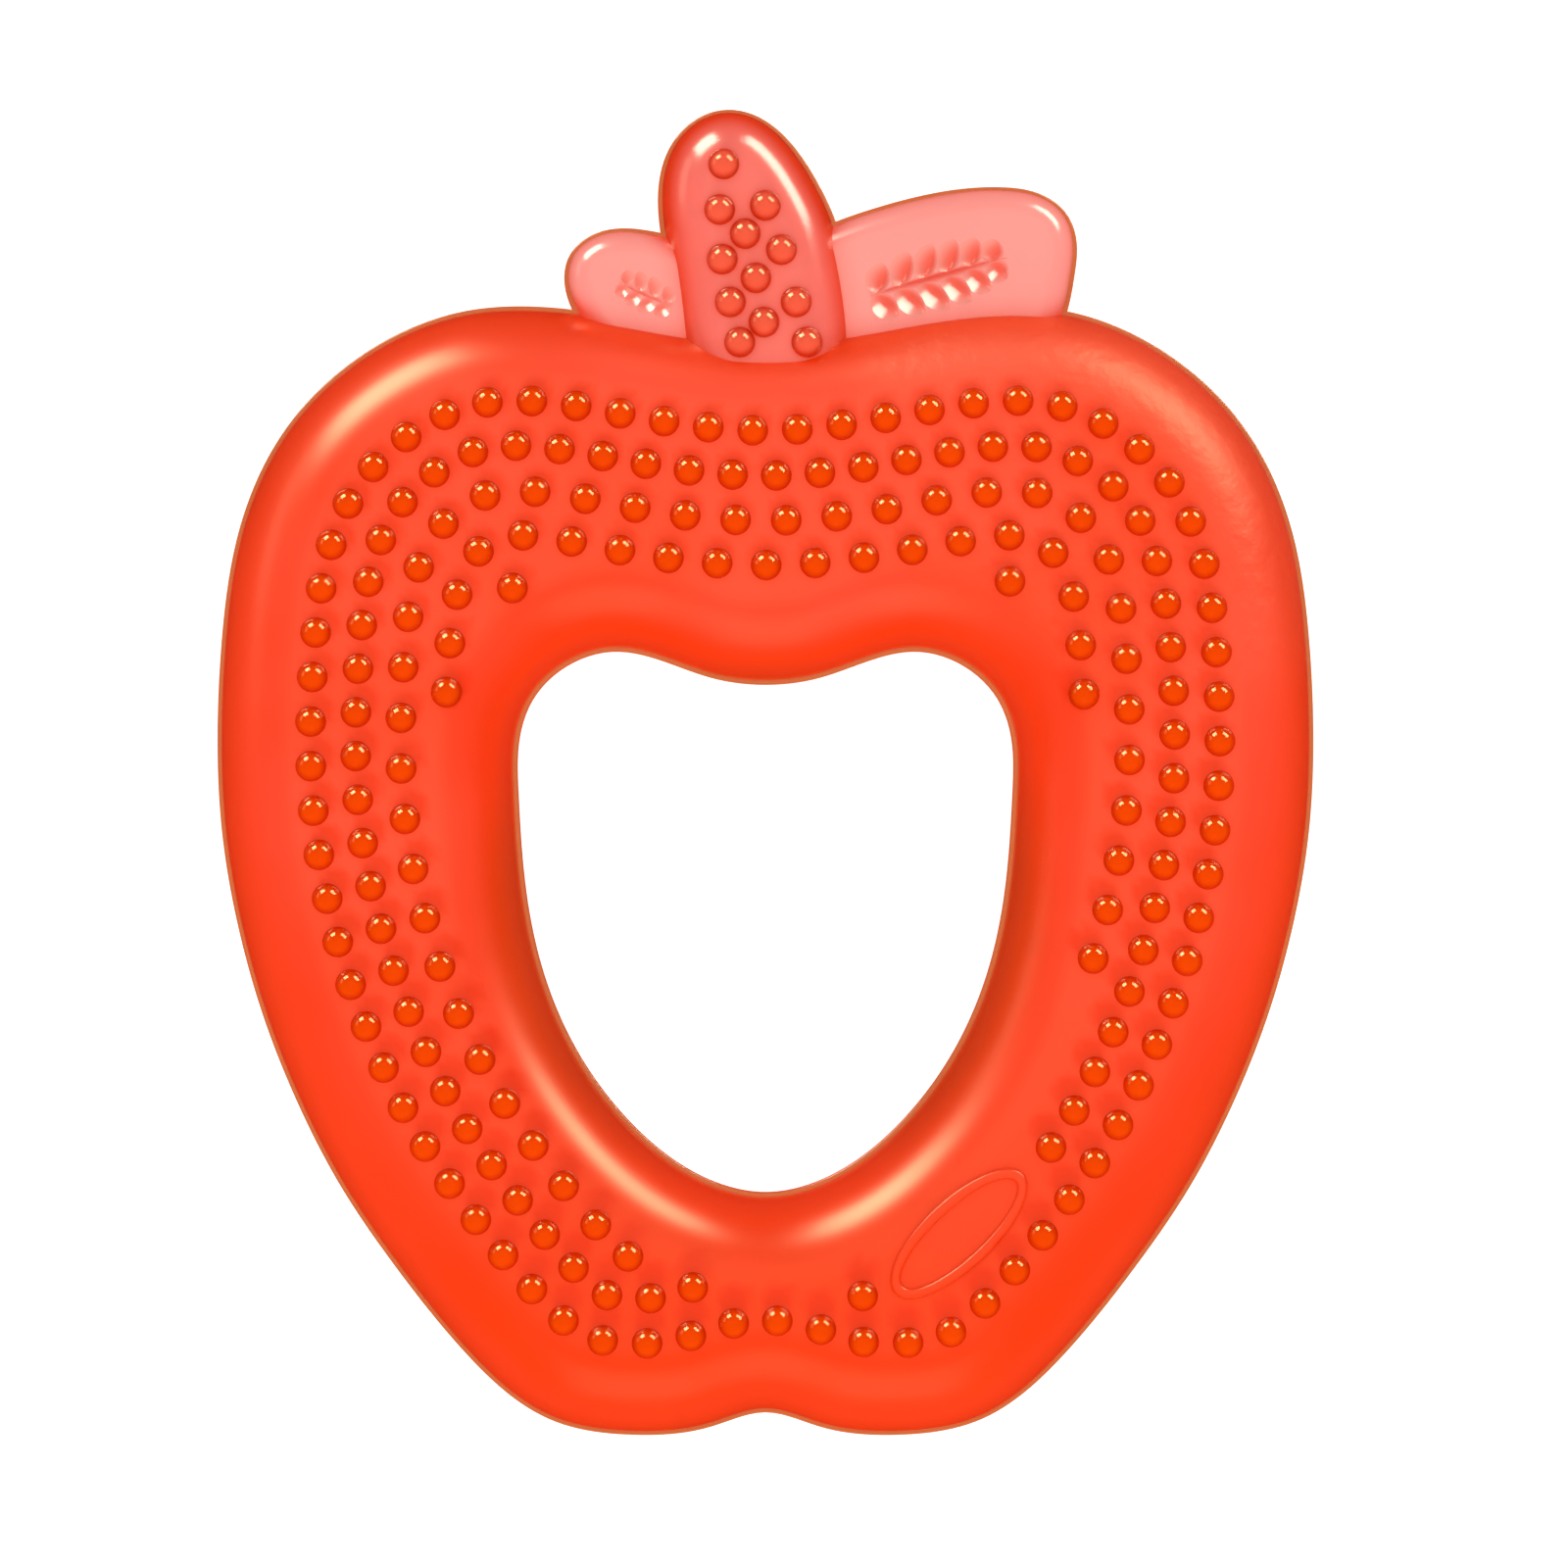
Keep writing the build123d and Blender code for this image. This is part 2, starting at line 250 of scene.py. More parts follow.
def grid_between(outer, inner, spacing):
    """Points of a square grid inside the outer loop, and outside the inner one if there is one."""
    low, high = outer.min(axis=0), outer.max(axis=0)
    across = np.arange(low[0], high[0], spacing)
    along = np.arange(low[1], high[1], spacing)
    grid = np.stack(np.meshgrid(across, along), axis=-1).reshape(-1, 2)
    keep = inside(grid, outer)
    if inner is not None:
        keep &= ~inside(grid, inner)
    return grid[keep]


def flat_fill(loops, hole_loop=None, extra=()):
    """Triangles between closed loops of points: the first is the outside, hole_loop the inside.

    The triangles also use the extra points, which come after the loops' own.
    """
    points, edges = [], []
    for loop in loops:
        first = len(points)
        points += [Vector((x, y)) for x, y in loop]
        edges += [(first + i, first + (i + 1) % len(loop)) for i in range(len(loop))]
    points += [Vector((x, y)) for x, y in extra]
    _, _, triangles, sources, _, _ = delaunay_2d_cdt(points, edges, [], 0, 1e-7)
    triangles = np.array([[sources[i][0] for i in t] for t in triangles])
    place = np.array([(p.x, p.y) for p in points])
    centre = place[triangles].mean(axis=1)
    keep = inside(centre, np.array(loops[0]))
    if hole_loop is not None:
        keep &= ~inside(centre, np.array(hole_loop))
    return triangles[keep]


def cushion(name, curve, start, half, rounding, slot_index, hole=None, steps=14, grid=None):
    """Upper half of a cushion with rounded edges, closed by a flat bottom on the weld plane.

    With a grid spacing, its flat top has a grid of points too.
    """
    stages = [(0.0, 0.0)]
    for i in range(steps + 1):
        turn = math.pi / 2 * i / steps
        stages.append((rounding * (1 - math.cos(turn)), half - rounding + rounding * math.sin(turn)))
    stages.append((rounding + FLAT_BORDER, half))
    verts, faces, tops, bottoms = [], [], [], []
    walls = [(curve, -1)] if hole is None else [(curve, -1), (hole, 1)]
    for loop, way in walls:
        n = len(loop)
        base = len(verts)
        for inset, height in stages:
            ring = moved(loop, way * (start + inset))
            verts += [(x, y, height) for x, y in ring]
        for row in range(len(stages) - 1):
            for i in range(n):
                a = base + row * n + i
                b = base + row * n + (i + 1) % n
                quad = (a, b, b + n, a + n)
                faces.append(quad if way < 0 else quad[::-1])
        bottoms.append(list(range(base, base + n)))
        tops.append(list(range(base + (len(stages) - 1) * n, base + len(stages) * n)))
    extra = np.empty((0, 2))
    if grid is not None:
        margin = start + stages[-1][0] + grid / 2
        extra = grid_between(moved(curve, -margin), None if hole is None else moved(hole, margin), grid)
    extra_index = np.arange(len(verts), len(verts) + len(extra))
    verts += [(x, y, half) for x, y in extra]
    place = np.array(verts)[:, :2]
    for loops, upward in ((tops, True), (bottoms, False)):
        index = np.concatenate(loops + [extra_index])
        outlines = [place[loop] for loop in loops]
        inner = outlines[1] if hole is not None else None
        for triangle in flat_fill(outlines, inner, extra if upward else ()):
            a, b, c = place[index[triangle]]
            left = (b[0] - a[0]) * (c[1] - a[1]) - (b[1] - a[1]) * (c[0] - a[0]) > 0
            corner = index[triangle]
            faces.append(tuple(corner if left == upward else corner[::-1]))
    return new_object(name, verts, faces, slot_index)


def lip(curve, hole=None):
    """Thin weld lip with a softened upper edge."""
    return cushion("lip", curve, 0.0, LIP_HALF, LIP_BEVEL, LIP, hole, steps=4)


def balls(name, places, radius, slot_index, segments=28, rows=14):
    """Separate balls as one mesh."""
    verts, faces = [], []
    for cx, cy, cz in places:
        base = len(verts)
        verts.append((cx, cy, cz + radius))
        for row in range(1, rows):
            polar = math.pi * row / rows
            for i in range(segments):
                turn = 2 * math.pi * i / segments
                verts.append((cx + radius * math.sin(polar) * math.cos(turn),
                              cy + radius * math.sin(polar) * math.sin(turn),
                              cz + radius * math.cos(polar)))
        verts.append((cx, cy, cz - radius))
        last = len(verts) - 1
        for i in range(segments):
            j = (i + 1) % segments
            faces.append((base, base + 1 + i, base + 1 + j))
            for row in range(rows - 2):
                a = base + 1 + row * segments
                faces.append((a + i, a + segments + i, a + segments + j, a + j))
            low = base + 1 + (rows - 2) * segments
            faces.append((low + j, low + i, last))
    return new_object(name, verts, faces, slot_index)


def groove(start, end, half_width, depth, height, lean=1, stations=12):
    """Closed wedge that cuts a groove, pointed at both ends, below a face at this height.

    One wall is wide and the other steep; lean says on which side the steep one is.
    """
    section = [(-1, 0.5), (-1, 0), (0.2, -0.9), (0.45, -1), (0.7, -0.8), (1, 0), (1, 0.5)]
    if lean < 0:
        section = [(-across, down) for across, down in section[::-1]]
    dx, dy = end[0] - start[0], end[1] - start[1]
    length = math.hypot(dx, dy)
    narrowest = 0.04
    verts, faces = [], []
    for i in range(stations + 1):
        share = i / stations
        swell = max(narrowest, math.sin(math.pi * share) ** 0.6)
        middle = (start[0] + dx * share, start[1] + dy * share)
        for across, down in section:
            side = across * half_width * swell
            drop = down * depth * (swell if down < 0 else 1)
            verts.append((middle[0] - dy / length * side, middle[1] + dx / length * side, height + drop))
    size = len(section)
    for i in range(stations):
        for j in range(size):
            k = (j + 1) % size
            faces.append((i * size + j, i * size + k, (i + 1) * size + k, (i + 1) * size + j))
    faces.append(tuple(range(size))[::-1])
    faces.append(tuple(range(stations * size, (stations + 1) * size)))
    return new_object("groove", verts, faces, VEIN)


def post(name, centre, diameter, bottom, top, slot_index, sides=64):
    """Round post between two heights."""
    circle = [
        (centre[0] + diameter / 2 * math.cos(2 * math.pi * i / sides),
         centre[1] + diameter / 2 * math.sin(2 * math.pi * i / sides))
        for i in range(sides)
    ]
    verts = [(x, y, z) for z in (bottom, top) for x, y in circle]
    faces = [tuple(range(sides))[::-1], tuple(range(sides, 2 * sides))]
    faces += [(i, (i + 1) % sides, sides + (i + 1) % sides, sides + i) for i in range(sides)]
    return new_object(name, verts, faces, slot_index)


def combine(piece, other, operation):
    """Boolean of two closed meshes; the second is used up."""
    tool = piece.modifiers.new("join", "BOOLEAN")
    tool.operation = operation
    tool.solver = "MANIFOLD"
    tool.object = other
    seen = piece.evaluated_get(bpy.context.evaluated_depsgraph_get())
    mesh = bpy.data.meshes.new_from_object(seen)
    piece.modifiers.clear()
    piece.data = mesh
    bpy.data.objects.remove(other)
    return piece


# ---- material nodes ------------------------------------------------------------------------------------
def feed(material, socket, value):
    """Link a node's output to a socket, or set the socket to a number or a colour."""
    if isinstance(value, bpy.types.NodeSocket):
        material.node_tree.links.new(value, socket)
    else:
        socket.default_value = value


def calculated(material, operation, first, second=None):
    """Output of a Math node."""
    node = material.node_tree.nodes.new("ShaderNodeMath")
    node.operation = operation
    feed(material, node.inputs[0], first)
    if second is not None:
        feed(material, node.inputs[1], second)
    return node.outputs["Value"]


def ranged(material, value, low, high, to_low=0.0, to_high=1.0, smooth=False):
    """Output that goes from to_low to to_high while the value goes from low to high."""
    node = material.node_tree.nodes.new("ShaderNodeMapRange")
    node.interpolation_type = "SMOOTHSTEP" if smooth else "LINEAR"
    feed(material, node.inputs["Value"], value)
    feed(material, node.inputs["From Min"], low)
    feed(material, node.inputs["From Max"], high)
    feed(material, node.inputs["To Min"], to_low)
    feed(material, node.inputs["To Max"], to_high)
    return node.outputs["Result"]


def mixed(material, share, first, second):
    """Colour output that goes from the first colour to the second as the share goes from 0 to 1."""
    node = material.node_tree.nodes.new("ShaderNodeMix")
    node.data_type = "RGBA"
    feed(material, node.inputs["Factor"], share)
    feed(material, node.inputs["A"], first)
    feed(material, node.inputs["B"], second)
    return node.outputs["Result"]


def noise(material, where, scale, detail):
    """Output of a noise texture in the object's own space."""
    node = material.node_tree.nodes.new("ShaderNodeTexNoise")
    feed(material, node.inputs["Vector"], where)
    feed(material, node.inputs["Scale"], scale)
    feed(material, node.inputs["Detail"], detail)
    return node.outputs["Fac"]


# ---- materials ---------------------------------------------------------------------------------------
def painted_shade_by_hole(material, where, height_share, tinted, painted_shade):
    """Colour with painted shade on the low slopes inside an oval round the hole, where less light reaches."""
    oval_place = material.node_tree.nodes.new("ShaderNodeMapping")
    oval_place.vector_type = "TEXTURE"
    feed(material, oval_place.inputs["Location"], (0, (HOLE_OVAL_Y + SHIFT_Y) * MM, 0))
    feed(material, oval_place.inputs["Scale"], (HOLE_OVAL[0] * MM, HOLE_OVAL[1] * MM, 1))
    feed(material, oval_place.inputs["Vector"], where)
    away = material.node_tree.nodes.new("ShaderNodeVectorMath")
    away.operation = "LENGTH"
    feed(material, away.inputs[0], oval_place.outputs["Vector"])
    near = ranged(material, away.outputs["Value"], *OVAL_RANGE, 1.0, 0.0)
    low_slope = calculated(material, "SUBTRACT", 1.0, height_share)
    return mixed(material, calculated(material, "MULTIPLY", near, low_slope), tinted, (*painted_shade, 1))


def painted_shade_at_ghosts(material, tinted, painted_shade):
    """Colour with painted shade where the other face's nubs show through the body."""
    ghost = material.node_tree.nodes.new("ShaderNodeAttribute")
    ghost.attribute_name = "ghost"
    return mixed(material, ghost.outputs["Fac"], tinted, (*painted_shade, 1))


def painted_shade_in_creases(material, tinted, crease_shade):
    """Colour with painted shade, from ambient occlusion, round the foot of each nub and where the leaves meet
    the ring.
    """
    occlusion = material.node_tree.nodes.new("ShaderNodeAmbientOcclusion")
    occlusion.only_local = True
    occlusion.samples = 8
    feed(material, occlusion.inputs["Distance"], CREASE_REACH * MM)
    openness = ranged(material, occlusion.outputs["AO"], *CREASE_RANGE)
    return mixed(material, openness, (*crease_shade, 1), tinted)


def rubbed_patch(material, where, roughness):
    """Roughness that rises in the patch of the ring that is rubbed matt, and a fine bump there."""
    away = material.node_tree.nodes.new("ShaderNodeVectorMath")
    away.operation = "DISTANCE"
    feed(material, away.inputs[0], where)
    feed(material, away.inputs[1], [v * MM for v in (*MATT_PLACE, MID_Z + RING_HALF)])
    extra = ranged(material, away.outputs["Value"], MATT_CORE * MATT_REACH * MM, MATT_REACH * MM,
                   MATT_ROUGHNESS, 0.0, smooth=True)
    scuffs = noise(material, where, SCUFF_SCALE, detail=5.0)
    bump = material.node_tree.nodes.new("ShaderNodeBump")
    feed(material, bump.inputs["Distance"], SCUFF_DEPTH * MM / MATT_ROUGHNESS)
    feed(material, bump.inputs["Height"], calculated(material, "MULTIPLY", scuffs, extra))
    feed(material, material.node_tree.nodes["Principled BSDF"].inputs["Normal"], bump.outputs["Normal"])
    return calculated(material, "ADD", roughness, extra)


def soft_plastic(name, low, high, low_z, high_z, rough=0.2, painted_glow=0.45, clear=0.3, fade=1.0, painted_shade=None,
                 crease_shade=None, highlight=(1.0, 1.0, 1.0)):
    """Glossy translucent plastic whose colour turns from low to high with the height over the weld plane.

    The paler high colour on flat tops is partly painted reflection of the overhead light, and the low colour
    on slopes, in grooves and round the nubs' feet is partly painted shade. The glow is emission in the
    plastic's own colour, painted light that stands for light passing through it. With a fade under 1, the
    high colour gives way to the low one towards the bottom and in soft patches.
    """
    material = bpy.data.materials.new(name)
    material.use_nodes = True
    nodes = material.node_tree.nodes
    shader = nodes["Principled BSDF"].inputs
    where = nodes.new("ShaderNodeTexCoord").outputs["Object"]
    place = nodes.new("ShaderNodeSeparateXYZ")
    feed(material, place.inputs[0], where)
    lift = calculated(material, "SUBTRACT", place.outputs["Z"], MID_Z * MM)
    height = calculated(material, "ABSOLUTE", lift)
    height_share = ranged(material, height, low_z * MM, high_z * MM, smooth=True)
    lower = ranged(material, place.outputs["Y"], FADE_RANGE[0] * MM, FADE_RANGE[1] * MM, fade)
    clouds = noise(material, where, CLOUD_SCALE, detail=2.0)
    cloud_share = ranged(material, clouds, *CLOUD_RANGE, CLOUD_LEAST if fade < 1 else 1.0)
    patches = calculated(material, "MULTIPLY", lower, cloud_share)
    tinted = mixed(material, calculated(material, "MULTIPLY", patches, height_share), (*low, 1), (*high, 1))
    if painted_shade is not None:
        # painted shade on the low slopes round the hole
        tinted = painted_shade_by_hole(material, where, height_share, tinted, painted_shade)
        # painted shade where the other face's nubs show through
        tinted = painted_shade_at_ghosts(material, tinted, GHOST_SHADE)
    if crease_shade is not None:
        # painted shade round the nubs' feet and where the leaves meet the ring
        tinted = painted_shade_in_creases(material, tinted, crease_shade)
    fine = noise(material, where, FINE_SCALE, detail=3.0)
    varied = nodes.new("ShaderNodeHueSaturation")
    feed(material, varied.inputs["Value"], ranged(material, fine, 0.0, 1.0, *BRIGHTNESS_RANGE))
    feed(material, varied.inputs["Color"], tinted)
    smoothest, roughest = ROUGHNESS_RANGE
    roughness = ranged(material, fine, 0.0, 1.0, smoothest * rough, roughest * rough)
    if painted_shade is not None:
        roughness = rubbed_patch(material, where, roughness)
    feed(material, shader["Base Color"], varied.outputs["Color"])
    feed(material, shader["Roughness"], roughness)
    feed(material, shader["IOR"], PLASTIC_IOR)
    feed(material, shader["Specular Tint"], (*highlight, 1))
    # painted glow: emission in the plastic's own colour stands for light passing through it
    feed(material, shader["Emission Color"], varied.outputs["Color"])
    feed(material, shader["Emission Strength"], painted_glow)
    feed(material, shader["Transmission Weight"], clear)
    return material


NUB_HIGHLIGHT = (1.0, 0.74, 0.42)
RING_HIGHLIGHT = (1.0, 0.76, 0.52)
# colour of the painted shade where the other face's nubs show through
GHOST_SHADE = (0.63, 0.017, 0.000)
# in each plastic the low colour is partly painted shade and the high one partly painted reflection; the
# crease colours, the ring's colour by the hole and the ghost colour are painted shade
body_materials = [
    soft_plastic("ring_plastic", (0.68, 0.031, 0.000), (0.76, 0.054, 0.026), 4.1, 7.0, rough=0.30, fade=0.15,
                 painted_shade=(0.52, 0.034, 0.000), crease_shade=(0.56, 0.024, 0.000), highlight=RING_HIGHLIGHT),
    soft_plastic("stem_plastic", (0.64, 0.036, 0.006), (0.70, 0.145, 0.125), 3.0, 5.2,
                 crease_shade=(0.50, 0.028, 0.006)),
    soft_plastic("leaf_plastic", (0.68, 0.125, 0.065), (0.70, 0.250, 0.235), 1.0, 3.1,
                 crease_shade=(0.60, 0.06, 0.03)),
    soft_plastic("lip_plastic", (0.42, 0.105, 0.03), (0.46, 0.12, 0.035), 0.0, 0.5),
    # on both kinds of nub the dark low colour is a painted shaded rim round the foot
    soft_plastic("nub_plastic", (0.42, 0.018, 0.000), (0.63, 0.050, 0.001), 7.12, 7.7, rough=0.06,
                 crease_shade=(0.42, 0.014, 0.000), highlight=NUB_HIGHLIGHT),
    soft_plastic("stem_nub_plastic", (0.42, 0.020, 0.002), (0.66, 0.09, 0.05), 5.32, 5.9, rough=0.06,
                 crease_shade=(0.40, 0.016, 0.002), highlight=NUB_HIGHLIGHT),
    soft_plastic("inside_plastic", (0.98, 0.80, 0.78), (1.0, 0.8, 0.78), 1.0, 6.9, rough=0.08, painted_glow=0.0,
                 clear=1.0),
    # the veins' darker low colour is painted shade in the grooves
    soft_plastic("vein_plastic", (0.62, 0.10, 0.07), (0.70, 0.26, 0.23), 2.4, 3.2, rough=0.22, painted_glow=0.4,
                 clear=0.2),
]


# ---- body -----------------------------------------------------------------------------------------
def nub_places():
    """Centres of the ring's nubs: rows that run along the outline, and a few single ones."""
    places = []
    outline = closed_curve(mirrored(RING_OUTER_HALF), ROW_STEP)
    start = np.argmin(np.hypot(outline[:, 0], outline[:, 1] - RING_OUTER_HALF[0][1]))
    outline = np.roll(outline, -start, axis=0)
    for distance, first, pitch, count in NUB_ROWS:
        loop, run = run_along(moved(outline, -distance))
        for i in range(count):
            at = (first + i * pitch) % run[-1]
            x, y = np.interp(at, run, loop[:, 0]), np.interp(at, run, loop[:, 1])
            places.append((x, y, RING_HALF - NUB_SINK))
    places += [(x, y, RING_HALF - NUB_SINK) for x, y in SINGLE_NUBS]
    return places


def stem_nub_places():
    return [(x, y, STEM_HALF - NUB_SINK) for x, y in STEM_NUBS]


def veined_leaf(curve, veins):
    """Leaf with a feather of scoops: a rib and side veins that lean to its tip."""
    leaf = cushion("leaf", curve, LIP_WIDTH, LEAF_HALF, LEAF_ROUND, LEAF)
    start, end, count, reach, half_width = veins
    depth = VEIN_DEPTH_SHARE * half_width
    combine(leaf, groove(start, end, RIB_WIDTH_SHARE * half_width, depth, LEAF_HALF), "DIFFERENCE")
    heading = math.atan2(end[1] - start[1], end[0] - start[0])
    for i in range(count):
        share = (i + 0.1) / count
        root = (start[0] + (end[0] - start[0]) * share, start[1] + (end[1] - start[1]) * share)
        # the side veins are longest a third of the way along the rib
        length = reach * (0.7 + 0.9 * share - 1.3 * share ** 2)
        for side in (-1, 1):
            angle = heading + side * math.radians(VEIN_SPREAD)
            tip = (root[0] + length * math.cos(angle), root[1] + length * math.sin(angle))
            combine(leaf, groove(root, tip, half_width, depth, LEAF_HALF, -side), "DIFFERENCE")
    return leaf


def hollow():
    """Upper half of the room for the water, in the ring and the stem."""
    edge = LIP_WIDTH + WALL
    room = cushion("room", ring_curve, edge, RING_HALF - WALL, RING_ROUND - WALL, INSIDE, hole_curve)
    stem_room = cushion("stem_room", stem_curve, edge, STEM_HALF - WALL, STEM_ROUND - WALL, INSIDE)
    return combine(room, stem_room, "UNION")


def moulded_half(name):
    """Solid upper half of the body: ring, stem, veined leaves, weld lip and nubs."""
    half = cushion(name, ring_curve, LIP_WIDTH, RING_HALF, RING_ROUND, RING, hole_curve, grid=FACE_GRID)
    combine(half, cushion("stem", stem_curve, LIP_WIDTH, STEM_HALF, STEM_ROUND, STEM), "UNION")
    combine(half, veined_leaf(right_leaf_curve, VEINS[0]), "UNION")
    combine(half, veined_leaf(left_leaf_curve, VEINS[1]), "UNION")
    combine(half, lip(ring_curve, hole_curve), "UNION")
    for curve in (stem_curve, right_leaf_curve, left_leaf_curve):
        combine(half, lip(curve), "UNION")
    combine(half, balls("nubs", nub_places(), NUB_RADIUS, NUB), "UNION")
    combine(half, balls("stem_nubs", stem_nub_places(), NUB_RADIUS, STEM_NUB), "UNION")
    return half


def mirrored_piece(piece, name):
    """Copy of a half on the other side of the weld plane."""
    mesh = piece.data.copy()
    coords = mesh_points(mesh)
    coords[:, 2] = 2 * MID_Z * MM - coords[:, 2]
    mesh.vertices.foreach_set("co", coords.ravel())
    mesh.flip_normals()
    copy = bpy.data.objects.new(name, mesh)
    bpy.context.scene.collection.objects.link(copy)
    return copy


def oval(length, width, count=96):
    """Points of the badge's oval outline, anticlockwise."""
    turned = math.radians(BADGE_ANGLE)
    points = []
    for i in range(count):
        turn = 2 * math.pi * i / count
        x, y = length / 2 * math.cos(turn), width / 2 * math.sin(turn)
        points.append((BADGE_CENTRE[0] + x * math.cos(turned) - y * math.sin(turned),
                       BADGE_CENTRE[1] + x * math.sin(turned) + y * math.cos(turned)))
    return np.array(points)


def add_badge(piece):
    """Plain oval on the front face: a raised rim round a lower middle."""
    outer = oval(BADGE_LENGTH, BADGE_WIDTH)
    inner = oval(BADGE_LENGTH - 2 * BADGE_RIM, BADGE_WIDTH - 2 * BADGE_RIM)
    foot = RING_HALF - BADGE_FOOT
    rim = cushion("rim", outer, 0.0, RING_HALF + BADGE_RISE, BADGE_EDGE, RING, inner, steps=5)
    middle = cushion("middle", outer, BADGE_MIDDLE_INSET, RING_HALF + BADGE_MIDDLE_RISE,
                     BADGE_MIDDLE_EDGE, RING, steps=2)
    combine(rim, middle, "UNION")
    combine(rim, post("trim", BADGE_CENTRE, 2 * BADGE_LENGTH, -CUTTER_REACH, foot, RING), "DIFFERENCE")
    combine(piece, rim, "UNION")


def add_port(piece):
    """Filling port in the back face: a bore through a boss, with a counterbore for the plug's head."""
    outside = -(RING_HALF + CUTTER_REACH)
    port_floor = -(RING_HALF - PORT_BOSS_DEPTH)
    shoulder = -(RING_HALF - PORT_RECESS_DEPTH)
    boss = post("boss", PORT_CENTRE, PORT_BOSS, -(RING_HALF - BOSS_COVER), port_floor, INSIDE)
    bore = post("bore", PORT_CENTRE, PORT_BORE, outside, port_floor + CUTTER_REACH, RING)
    recess = post("recess", PORT_CENTRE, PORT_RECESS, outside, shoulder, RING)
    combine(piece, boss, "UNION")
    combine(piece, bore, "DIFFERENCE")
    combine(piece, recess, "DIFFERENCE")


def finish_surface(piece):
    """Clear plastic on the weld face, the ring's own on the lip's side, then smooth shading."""
    mesh = piece.data
    on_plane, upright = 1e-7, 0.2
    for face in mesh.polygons:
        if abs(face.center.z - MID_Z * MM) < on_plane:
            face.material_index = INSIDE
        elif face.material_index == LIP and abs(face.normal.z) < upright:
            face.material_index = RING
    mesh.shade_smooth()
    mesh.set_sharp_from_angle(angle=math.radians(SHARP_ANGLE))


def round_nubs(piece, side):
    """Give the nubs the exact normals of a ball. The side is 1 for the front and -1 for the back."""
    mesh = piece.data
    coords = mesh_points(mesh) / MM - (0, SHIFT_Y, MID_Z)
    ball_normals = np.zeros(coords.shape)
    for x, y, z in nub_places() + stem_nub_places():
        away = coords - (x, y, side * z)
        distance = np.linalg.norm(away, axis=1)
        on_ball = np.abs(distance - NUB_RADIUS) < NUB_TOLERANCE
        ball_normals[on_ball] = away[on_ball] / distance[on_ball, None]
    corner_normals = np.zeros((len(mesh.loops), 3))
    for face in mesh.polygons:
        if face.material_index in (NUB, STEM_NUB):
            corners = slice(face.loop_start, face.loop_start + face.loop_total)
            corner_normals[corners] = ball_normals[list(face.vertices)]
    mesh.normals_split_custom_set(corner_normals.tolist())


def mark_ghosts(piece):
    """Store at each point how much painted shade stands for a nub of the other face showing through there."""
    mesh = piece.data
    place = mesh_points(mesh)[:, :2] / MM - (0, SHIFT_Y)
    shown = np.zeros(len(place))
    for x, y, _ in nub_places():
        centre = ((1 - GHOST_DRAW) * x, (1 - GHOST_DRAW) * y + GHOST_LIFT)
        away = np.hypot(*(place - centre).T)
        shown = np.maximum(shown, np.clip((GHOST_RADIUS + GHOST_EDGE / 2 - away) / GHOST_EDGE, 0, 1))
    layer = mesh.attributes.new("ghost", "FLOAT", "POINT")
    layer.data.foreach_set("value", GHOST_SHARE * shown)


front = moulded_half("front_moulding")
back = mirrored_piece(front, "back_moulding")
add_badge(front)
combine(front, hollow(), "DIFFERENCE")
room = hollow()
back_room = mirrored_piece(room, "back_room")
bpy.data.objects.remove(room)
combine(back, back_room, "DIFFERENCE")
add_port(back)
for piece, node, side in ((front, "front_shell", 1), (back, "back_shell", -1)):
    finish_surface(piece)
    round_nubs(piece, side)
    mark_ghosts(piece)
    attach(piece, "root")
    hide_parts(node)

for node, colour, clear in (("cooling_water", (1.0, 0.97, 0.96), 1.0), ("fill_plug", (0.8, 0.05, 0.02), 0.2)):
    plain = soft_plastic(node + "_material", colour, colour, 0, 1, rough=0.05, painted_glow=0.0, clear=clear)
    for slot_of_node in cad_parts[node].material_slots:
        slot_of_node.material = plain


# ---- floor, lights, camera ---------------------------------------------------------------------------
LIGHT_COLOUR = (1.0, 0.92, 0.72)
CAMERA_HEIGHT = 450.0
FRAME_WIDTH = 118.4
FRAME_CENTRE = (1.4, -0.78)


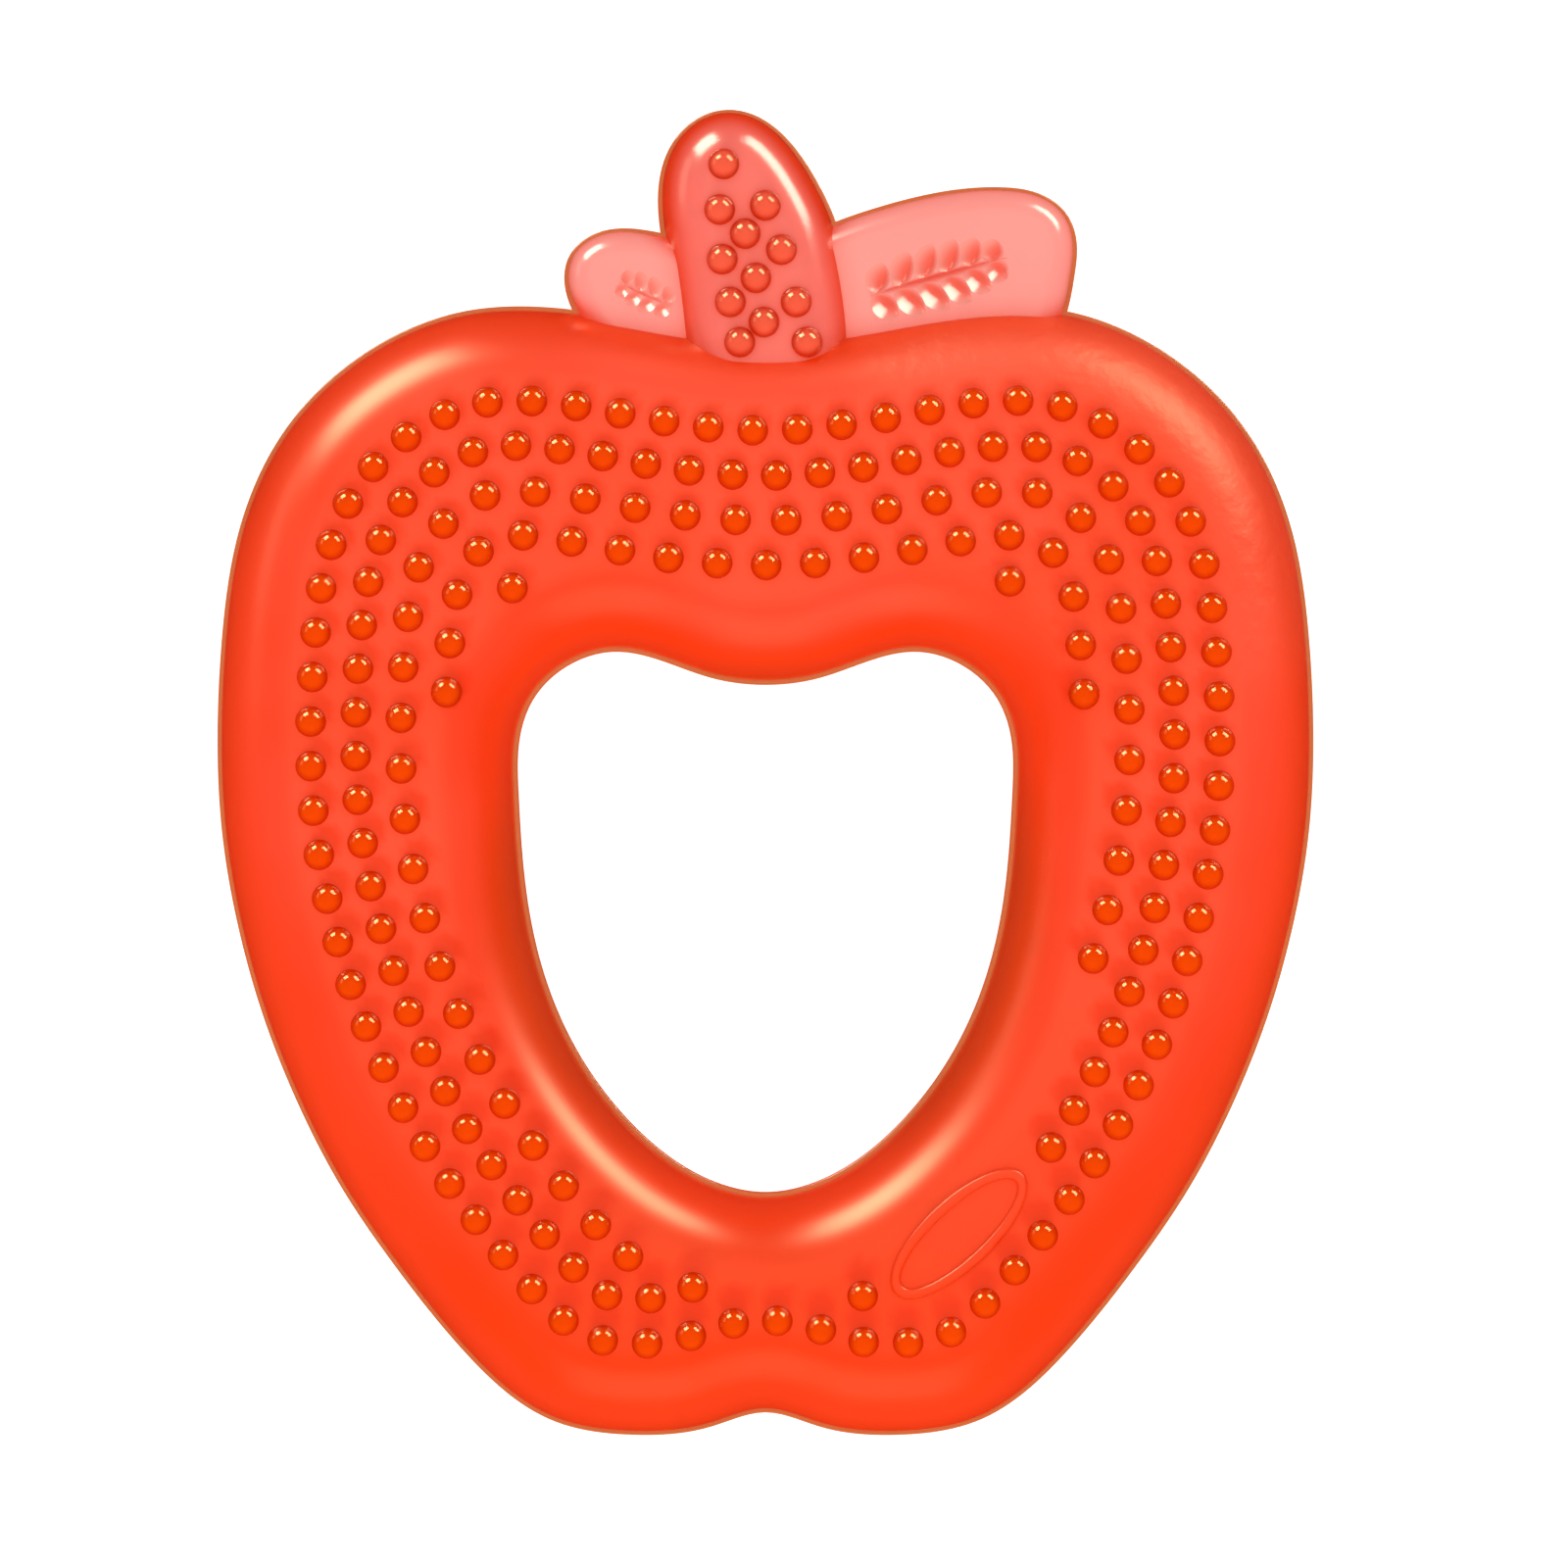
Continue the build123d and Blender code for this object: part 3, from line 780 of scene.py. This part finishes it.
def add_floor(half_side=2):
    """Floor that glows nearly white, so that shadows hardly show on it."""
    corners = [(-half_side, -half_side, 0), (half_side, -half_side, 0),
               (half_side, half_side, 0), (-half_side, half_side, 0)]
    mesh = bpy.data.meshes.new("floor")
    mesh.from_pydata(corners, [], [(0, 1, 2, 3)])
    paint = bpy.data.materials.new("floor_paint")
    paint.use_nodes = True
    shader = paint.node_tree.nodes["Principled BSDF"].inputs
    feed(paint, shader["Base Color"], (0.5, 0.5, 0.5, 1))
    feed(paint, shader["Roughness"], 0.8)
    feed(paint, shader["Emission Color"], (1, 1, 1, 1))
    feed(paint, shader["Emission Strength"], 0.9)
    mesh.materials.append(paint)
    floor = bpy.data.objects.new("floor", mesh)
    bpy.context.scene.collection.objects.link(floor)
    floor.visible_glossy = False


def add_world():
    """Even white surroundings that don't show in highlights."""
    world = bpy.data.worlds.new("studio")
    world.use_nodes = True
    background = world.node_tree.nodes["Background"].inputs
    background["Color"].default_value = (1, 1, 1, 1)
    background["Strength"].default_value = 0.25
    world.cycles_visibility.glossy = False
    bpy.context.scene.world = world
    bpy.context.scene.view_settings.view_transform = "Standard"


def area_light(name, place, size, energy, highlights):
    """Rectangular light aimed at the ring, for its highlights alone or for its even light alone."""
    data = bpy.data.lights.new(name, "AREA")
    data.shape = "RECTANGLE"
    data.size, data.size_y = size
    data.energy = energy
    data.color = LIGHT_COLOUR
    lamp = bpy.data.objects.new(name, data)
    lamp.location = place
    lamp.rotation_euler = (-Vector(place)).to_track_quat("-Z", "Y").to_euler()
    lamp.visible_camera = False
    lamp.visible_glossy = highlights
    lamp.visible_diffuse = not highlights
    bpy.context.scene.collection.objects.link(lamp)


def add_camera():
    """Camera straight above the ring."""
    data = bpy.data.cameras.new("camera")
    data.sensor_width = 36.0
    data.lens = data.sensor_width * CAMERA_HEIGHT / FRAME_WIDTH
    data.clip_start = 0.01
    camera = bpy.data.objects.new("camera", data)
    camera.location = (FRAME_CENTRE[0] * MM, (FRAME_CENTRE[1] + SHIFT_Y) * MM, (MID_Z + CAMERA_HEIGHT) * MM)
    bpy.context.scene.collection.objects.link(camera)
    bpy.context.scene.camera = camera


add_floor()
add_world()
area_light("left_box", (-0.43, 0.61, 0.33), (0.40, 0.36), 13.0, True)
area_light("right_box", (0.50, 0.56, 0.34), (0.54, 0.30), 12.0, True)
area_light("left_panel", (-0.72, 0.25, 0.20), (0.36, 0.24), 0.7, True)
area_light("overhead", (0, 0.15, 0.9), (0.8, 0.8), 6.3, False)
area_light("fill", (0, -0.7, 0.5), (0.6, 0.6), 4.5, False)
add_camera()
